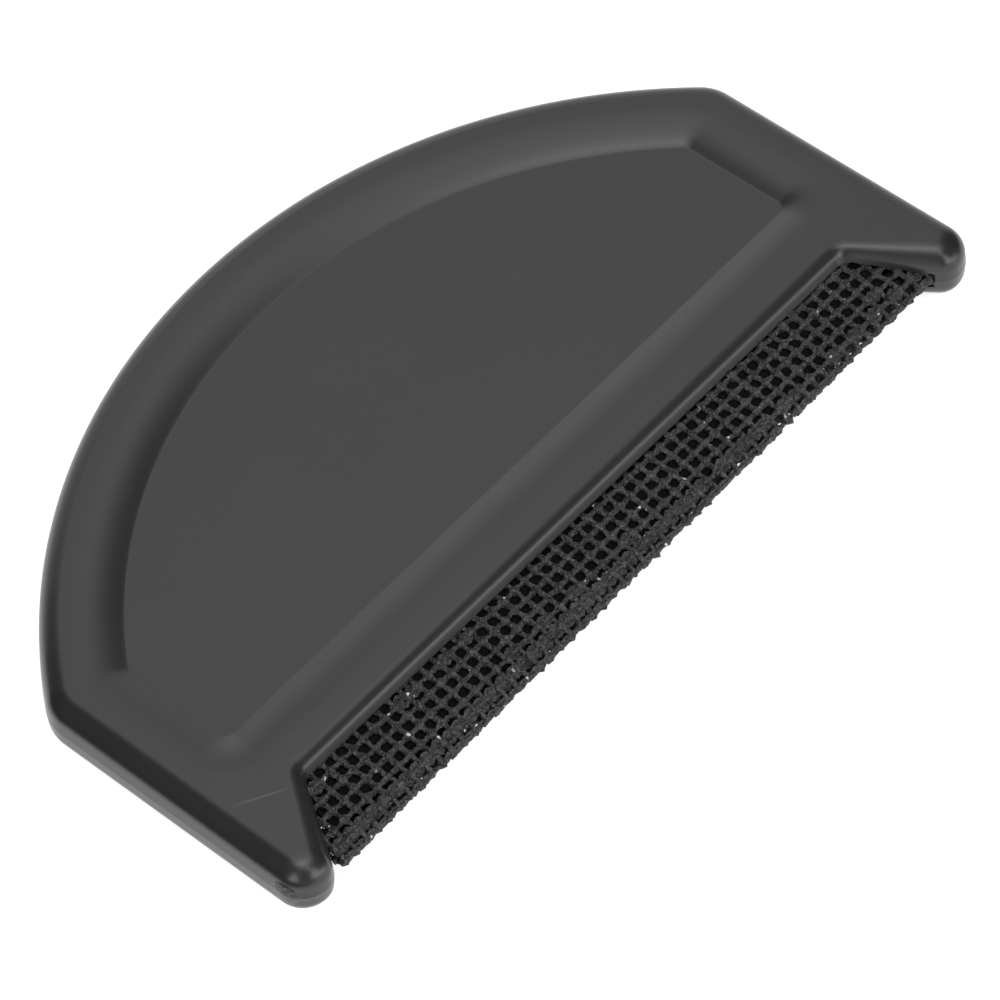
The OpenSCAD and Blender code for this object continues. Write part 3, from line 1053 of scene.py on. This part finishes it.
class COMB_OT_former(bpy.types.Operator):
    """Finish the former, whose CAD shape is kept"""

    bl_idname = "comb.former"
    bl_label = "Screen former"

    def execute(self, context):
        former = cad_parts["screen_former"]
        former.data.materials.clear()
        former.data.materials.append(dull_plastic(context.scene.comb_colours))
        return {"FINISHED"}


CAMERA_AZIMUTH = math.radians(-45.53)
CAMERA_ELEVATION = math.radians(52.58)
CAMERA_ROLL = math.radians(-4.65)
CAMERA_DISTANCE = mm(670.7)
CAMERA_ASIDE = mm(5.63)
CAMERA_ABOVE = mm(-4.31)
CAMERA_AIM = Vector((0, mm(-0.9), 0))
CAMERA_LENS = 274.96
CAMERA_CLIP = mm(50)
SENSOR_WIDTH = 36.0


def make_camera():
    """Camera at the photograph's angle: long lens, front left and above, slightly rolled."""
    back = Vector(
        (
            math.sin(CAMERA_AZIMUTH) * math.cos(CAMERA_ELEVATION),
            -math.cos(CAMERA_AZIMUTH) * math.cos(CAMERA_ELEVATION),
            math.sin(CAMERA_ELEVATION),
        )
    )
    level = Vector((0, 0, 1)).cross(back).normalized()
    upright = back.cross(level)
    right = math.cos(CAMERA_ROLL) * level + math.sin(CAMERA_ROLL) * upright
    above = math.cos(CAMERA_ROLL) * upright - math.sin(CAMERA_ROLL) * level
    place = CAMERA_AIM + CAMERA_DISTANCE * back + CAMERA_ASIDE * right + CAMERA_ABOVE * above
    data = bpy.data.cameras.new("photo_camera")
    data.lens = CAMERA_LENS
    data.sensor_width = SENSOR_WIDTH
    data.clip_start = CAMERA_CLIP
    camera = link("photo_camera", data)
    turned = Matrix((right, above, back)).transposed().to_4x4()
    camera.matrix_world = Matrix.Translation(place) @ turned
    bpy.context.scene.camera = camera


FILL_LIGHT = 0.57
TABLE_LIFT = 0.66
TABLE_PAINT = (0.5, 0.5, 0.5, 1)
TABLE_REACH = 4.0
TABLE_DROP = mm(0.05)
CARD_PAINT = (0.01, 0.01, 0.01, 1)
# Name, azimuth and elevation in degrees, distance and diameter in metres, radiance.
SOFTBOXES = (
    ("overhead", -5, 78, 0.9, 0.95, 0.79),
    ("left_of_camera", -168, 33, 0.8, 0.9, 2.5),
    ("right_of_camera", -90, 38, 0.8, 0.9, 2.7),
    ("low_front", -64, 4, 0.9, 0.46, 1.7),
    ("zenith", -100, 86, 0.82, 0.34, 2.2),
    ("back", 56, 26, 0.9, 0.36, 0.6),
)
# Name, azimuth and elevation in degrees, distance, width and height in metres.
STANDING_CARDS = (
    ("left_card", 141, 38, 0.6, 1.15, 0.95),
    ("front_card", -129, 33, 0.6, 0.46, 0.6),
    ("right_card", -18, 33, 0.6, 0.62, 0.74),
    ("front_right_card", -58, 44, 0.6, 0.4, 0.5),
)
# Name, centre, width and height in metres.
LYING_CARDS = (
    ("left_table_card", (-0.335, 0.08, 0), 0.565, 0.8),
    ("right_table_card", (0.4, -0.08, 0), 0.6, 0.24),
)


def seen_directly(tree):
    """1 for rays that show the background: from the camera, a mirror or a lens."""
    rays = add_node(tree, "ShaderNodeLightPath").outputs
    seen = rays["Is Camera Ray"]
    for kind in ("Is Glossy Ray", "Is Transmission Ray"):
        either = add_node(tree, "ShaderNodeMath", {0: seen, 1: rays[kind]}, operation="MAXIMUM")
        seen = either.outputs[0]
    return seen


def make_world():
    """White where it is seen, and a soft even fill where it lights."""
    world = bpy.data.worlds.new("studio_world")
    bpy.context.scene.world = world
    world.use_nodes = True
    tree = world.node_tree
    tree.nodes.clear()
    strength = add_node(tree, "ShaderNodeMix", {"Factor": seen_directly(tree)}, data_type="FLOAT")
    strength.inputs["A"].default_value = FILL_LIGHT
    strength.inputs["B"].default_value = 1.0
    light = add_node(tree, "ShaderNodeBackground", {"Strength": strength.outputs["Result"]})
    light.inputs["Color"].default_value = (1, 1, 1, 1)
    add_node(tree, "ShaderNodeOutputWorld", {"Surface": light.outputs[0]})


def flat_sheet(name, centre, turned, size, material):
    """A flat rectangle of that size about a centre, turned by a 3 x 3 matrix."""
    half = Vector(size) / 2
    corners = [
        centre + turned @ Vector((sx * half.x, sy * half.y, 0))
        for sx, sy in ((-1, -1), (1, -1), (1, 1), (-1, 1))
    ]
    mesh = bpy.data.meshes.new(name)
    mesh.from_pydata(corners, [], [(0, 1, 2, 3)])
    mesh.materials.append(material)
    return link(name, mesh)


def make_floor():
    """White table: its own light lifts it to white, and what the comb shades stays grey."""
    material, tree = new_material("white_table")
    glow = add_node(tree, "ShaderNodeEmission")
    lift = add_node(tree, "ShaderNodeMath", {0: seen_directly(tree)}, operation="MULTIPLY")
    lift.inputs[1].default_value = TABLE_LIFT
    tree.links.new(lift.outputs[0], glow.inputs["Strength"])
    paint = add_node(tree, "ShaderNodeBsdfDiffuse")
    paint.inputs["Color"].default_value = TABLE_PAINT
    both = add_node(tree, "ShaderNodeAddShader", {0: glow.outputs[0], 1: paint.outputs[0]})
    finish_material(tree, both)
    table = flat_sheet("table", Vector(), Matrix.Identity(3), (2 * TABLE_REACH,) * 2, material)
    table.location.z = -TABLE_DROP


def toward(azimuth, elevation, distance):
    """Place at that distance from the comb, with angles in degrees."""
    level = math.cos(math.radians(elevation))
    turn = math.radians(azimuth)
    height = math.sin(math.radians(elevation))
    return distance * Vector((level * math.cos(turn), level * math.sin(turn), height))


def add_softbox(name, place, size, radiance):
    """Round soft light of that radiance, facing the comb."""
    data = bpy.data.lights.new(name, "AREA")
    data.shape = "DISK"
    data.size = size
    data.energy = radiance * math.pi**2 * size**2 / 4
    lamp = link(name, data)
    lamp.location = place
    lamp.rotation_mode = "QUATERNION"
    lamp.rotation_quaternion = (-place).to_track_quat("-Z", "Y")


def add_card(name, centre, turned, size):
    """Black card that is seen only in the comb's reflections."""
    material, tree = new_material(name)
    paint = add_node(tree, "ShaderNodeBsdfDiffuse")
    paint.inputs["Color"].default_value = CARD_PAINT
    finish_material(tree, paint)
    card = flat_sheet(name, centre, turned, size, material)
    card.visible_camera = False
    card.visible_shadow = False
    card.visible_diffuse = False


class COMB_OT_stage(bpy.types.Operator):
    """Set the camera, the white table and the soft studio light"""

    bl_idname = "comb.stage"
    bl_label = "Studio"

    def execute(self, context):
        make_camera()
        make_world()
        make_floor()
        for name, azimuth, elevation, distance, size, radiance in SOFTBOXES:
            add_softbox(name, toward(azimuth, elevation, distance), size, radiance)
        for name, azimuth, elevation, distance, *size in STANDING_CARDS:
            centre = toward(azimuth, elevation, distance)
            add_card(name, centre, centre.to_track_quat("Z", "Y").to_matrix(), size)
        for name, centre, *size in LYING_CARDS:
            add_card(name, Vector(centre), Matrix.Identity(3), size)
        context.scene.view_settings.view_transform = "Standard"
        return {"FINISHED"}


class COMB_PT_panel(bpy.types.Panel):
    """Sizes, colours and build steps of the comb"""

    bl_label = "Sweater Comb"
    bl_idname = "COMB_PT_panel"
    bl_space_type = "VIEW_3D"
    bl_region_type = "UI"
    bl_category = "Comb"

    def draw(self, context):
        scene = context.scene
        for group in (scene.comb_shell, scene.comb_screen, scene.comb_colours):
            box = self.layout.box()
            for name in group.__annotations__:
                box.prop(group, name)
        for step in STEPS:
            self.layout.operator(step.bl_idname)


STEPS = (COMB_OT_shells, COMB_OT_screen, COMB_OT_former, COMB_OT_stage)
GROUPS = {
    "comb_shell": CombShellSizes,
    "comb_screen": CombScreenSizes,
    "comb_colours": CombColours,
}


def register():
    """Registers the sizes, the build steps and the panel."""
    for name, group in GROUPS.items():
        bpy.utils.register_class(group)
        setattr(bpy.types.Scene, name, PointerProperty(type=group))
    for kind in (*STEPS, COMB_PT_panel):
        bpy.utils.register_class(kind)


def unregister():
    """Takes out what register() put in, in reverse order."""
    for kind in (COMB_PT_panel, *reversed(STEPS)):
        bpy.utils.unregister_class(kind)
    for name, group in reversed(list(GROUPS.items())):
        delattr(bpy.types.Scene, name)
        bpy.utils.unregister_class(group)


def main():
    """Builds the comb and its studio."""
    register()
    bpy.ops.comb.shells()
    bpy.ops.comb.screen()
    bpy.ops.comb.former()
    bpy.ops.comb.stage()


if __name__ == "__main__":
    main()
